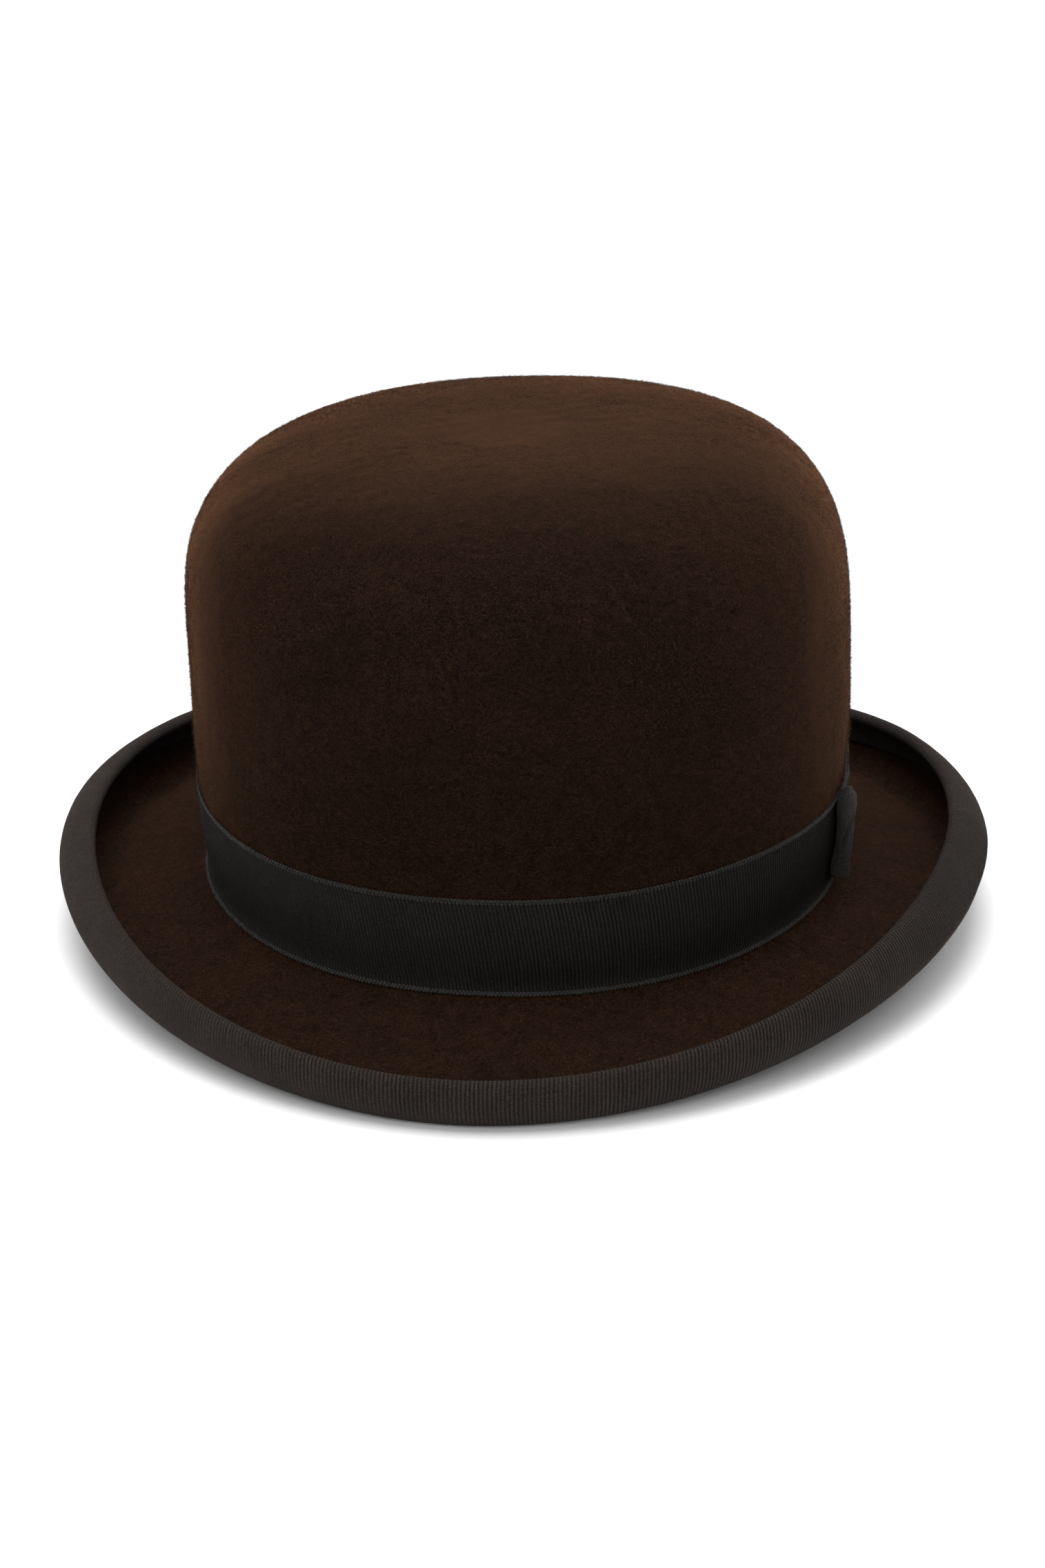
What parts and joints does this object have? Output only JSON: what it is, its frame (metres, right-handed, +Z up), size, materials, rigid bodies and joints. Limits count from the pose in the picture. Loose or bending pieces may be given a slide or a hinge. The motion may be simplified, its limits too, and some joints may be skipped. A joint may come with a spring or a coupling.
{
  "type": "bowler hat",
  "caption": "Stiff felt hat with a domed crown, a rolled ribbon-bound brim, a ribbon band with a flat side bow, a leather sweatband and a satin lining.",
  "frame": {"origin": "centre of the bounding box's base, on the table under the hat", "axes": "+Z up through the crown; -Y is the front of the hat and +Y its back, the longest way; +X is the wearer's left, the side with the bow"},
  "size_m": [0.2611, 0.3144, 0.1386],
  "materials": {
    "felt": "brown fur felt with a fine raised nap",
    "ribbon": "charcoal grosgrain ribbon with fine cross ribs",
    "sweatband_leather": "smooth tan leather",
    "reed": "springy plastic reed",
    "tape": "woven cotton tape",
    "satin": "lustrous satin lining",
    "piping": "satin-covered cord",
    "label": "blank paper label",
    "clear_sheet": "thin clear plastic sheet"
  },
  "bodies": {
    "root": {"felt_body": "felt", "brim_binding": "ribbon", "hat_band": "ribbon", "bow_loops": "ribbon", "bow_knot": "ribbon", "sweatband": "sweatband_leather", "sweatband_reed": "reed", "reed_tape": "tape", "sweatband_bow": "ribbon", "size_label": "label", "lining_side": "satin", "lining_piping": "piping", "lining_tip": "satin", "tip_shield": "clear_sheet"}
  },
  "joints": []
}
